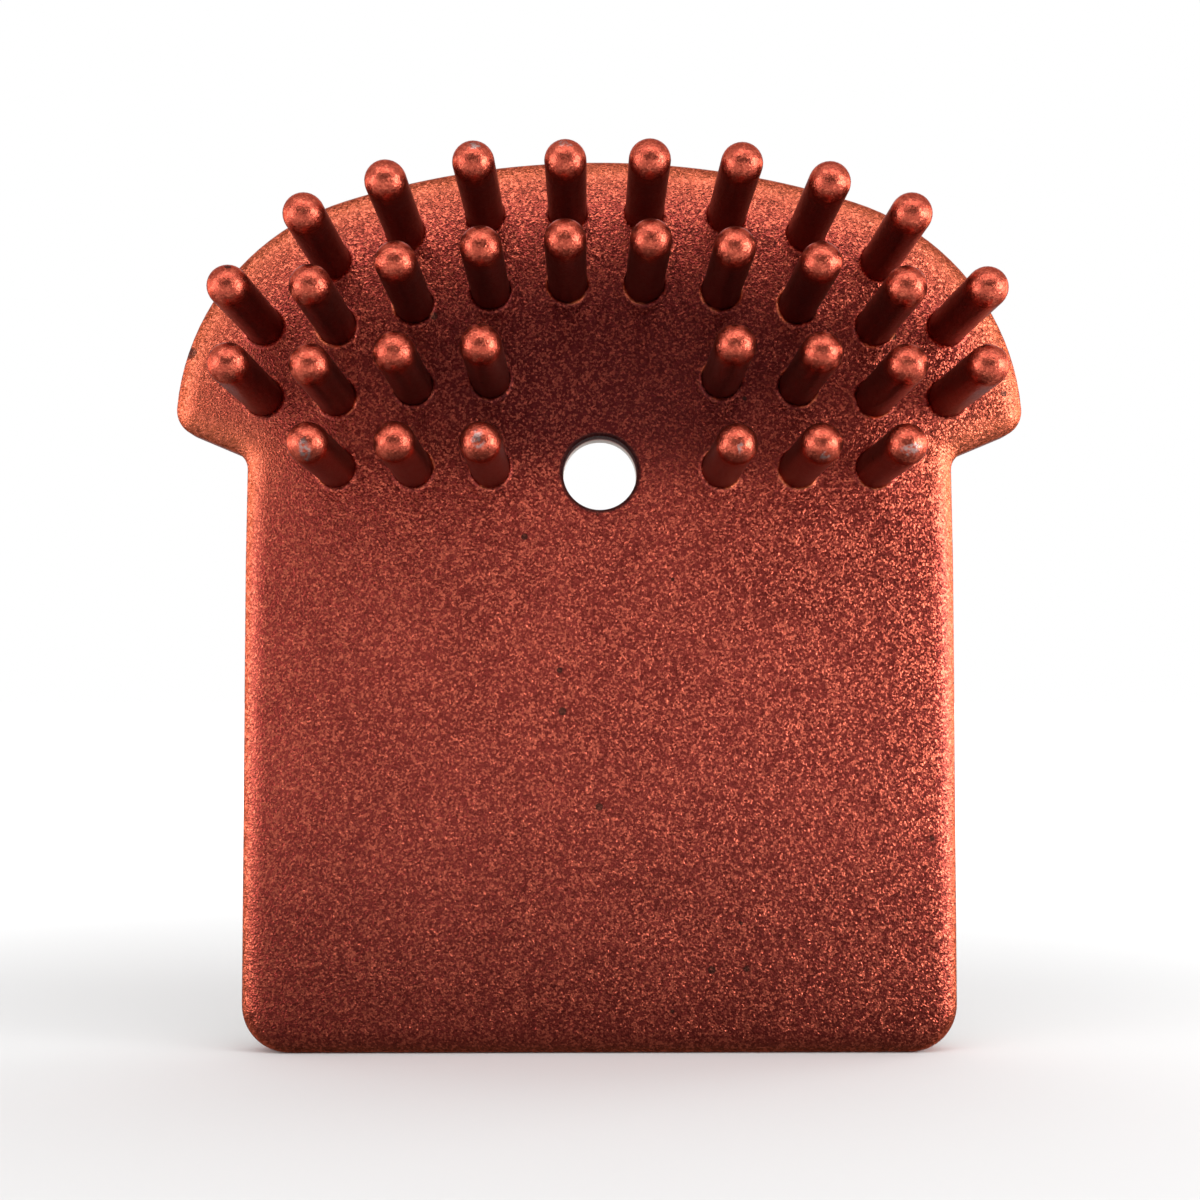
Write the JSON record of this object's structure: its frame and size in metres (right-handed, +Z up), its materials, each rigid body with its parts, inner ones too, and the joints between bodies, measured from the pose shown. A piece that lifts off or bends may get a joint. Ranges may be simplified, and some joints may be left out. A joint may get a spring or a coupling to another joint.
{
  "type": "bicycle disc brake pad",
  "caption": "Disc brake pad for a bicycle caliper: a lobed red aluminium backing plate with cooling pins on one face and a moulded friction block on the other.",
  "frame": {"origin": "on the axis of the retaining pin's hole, halfway through the backing plate", "axes": "+Z up towards the cooling pins' end of the plate, +Y out of the friction side, X across the plate; the cooling pins point along -Y"},
  "size_m": [0.0288, 0.0112, 0.0302],
  "materials": {
    "anodised_aluminium": "blasted and anodised copper red, with a fine metallic grain",
    "friction_compound": "pressed resin compound, olive brown with coloured grains and fibres, rough"
  },
  "bodies": {
    "root": {"backing_plate": "anodised_aluminium", "friction_block": "friction_compound"}
  },
  "joints": []
}
